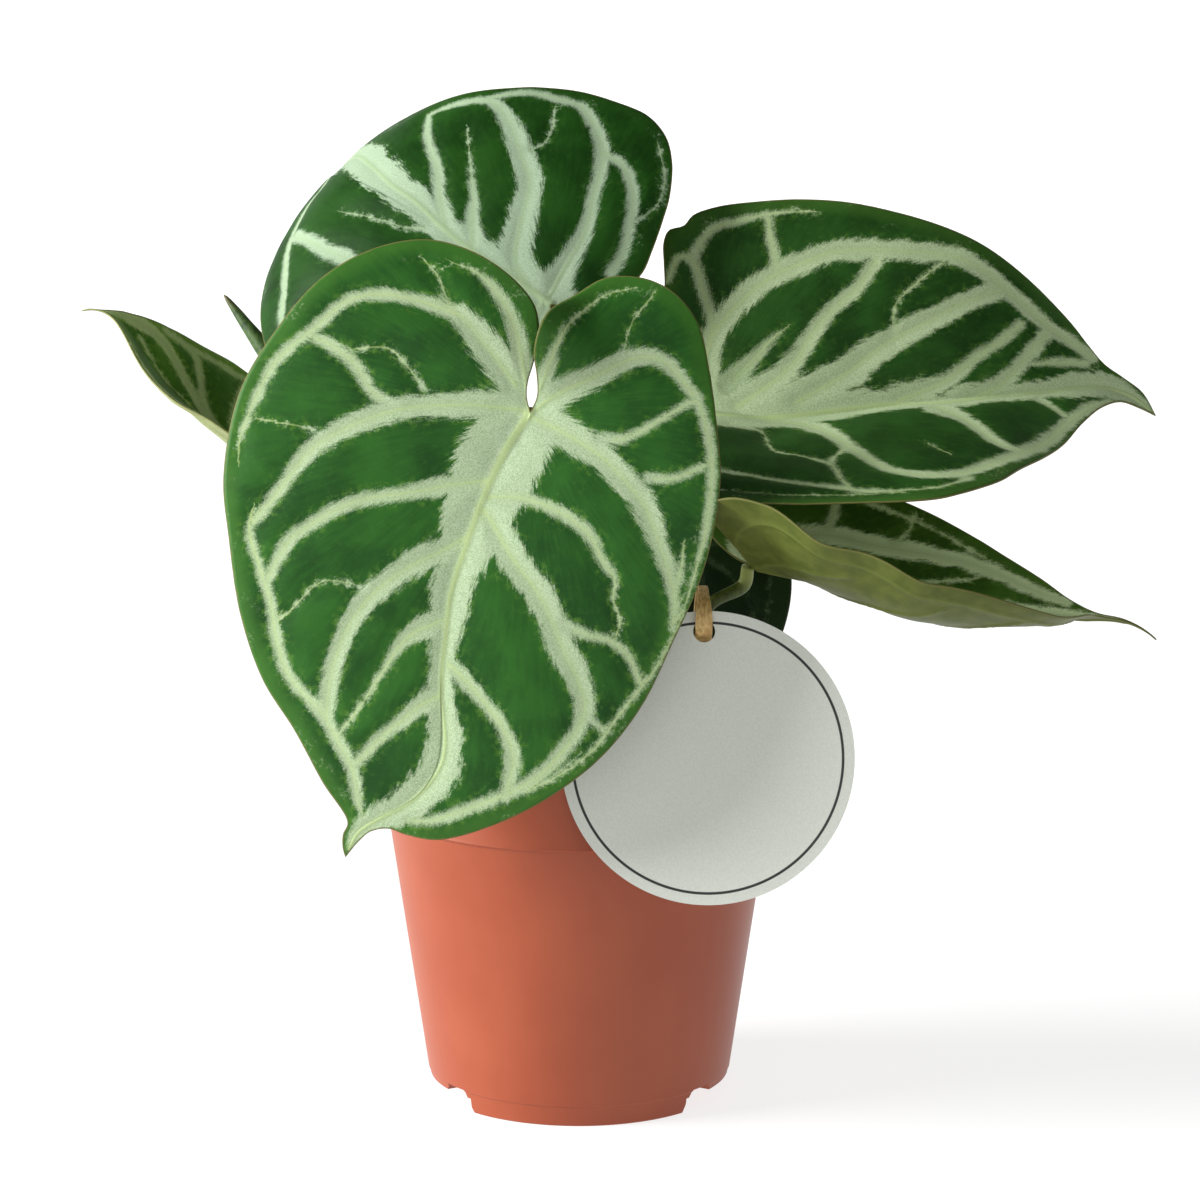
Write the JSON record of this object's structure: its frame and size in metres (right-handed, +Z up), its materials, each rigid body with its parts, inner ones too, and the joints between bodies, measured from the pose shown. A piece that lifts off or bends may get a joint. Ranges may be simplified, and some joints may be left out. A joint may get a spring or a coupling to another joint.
{
  "type": "potted silver blush anthurium",
  "caption": "Aroid house plant with heart-shaped, silver-veined dark green leaves on arching stalks, in a terracotta-coloured pot with a round hang tag",
  "frame": {"origin": "centre of the pot's underside, on the surface that it stands on", "axes": "+Z up, -Y towards the front where the largest leaf and the tag hang, +X to the right"},
  "size_m": [0.3185, 0.1794, 0.2961],
  "materials": {
    "terracotta": "satin moulded plastic",
    "peat": "rough moist peat",
    "crown": "matte",
    "stalk": "satin",
    "leaf": "velvety, with silver veins",
    "young_leaf": "satin",
    "card": "matte",
    "strap": "satin"
  },
  "bodies": {
    "root": {"pot": "terracotta", "soil": "peat", "crown": "crown", "petiole_front": "stalk", "petiole_back": "stalk", "petiole_right": "stalk", "petiole_low": "stalk", "petiole_left": "stalk", "petiole_shade": "stalk", "petiole_young": "stalk", "leaf_front": "leaf", "leaf_back": "leaf", "leaf_right": "leaf", "leaf_low": "leaf", "leaf_left": "leaf", "leaf_shade": "leaf", "leaf_young": "young_leaf", "tag": "card", "strap": "strap"}
  },
  "joints": []
}
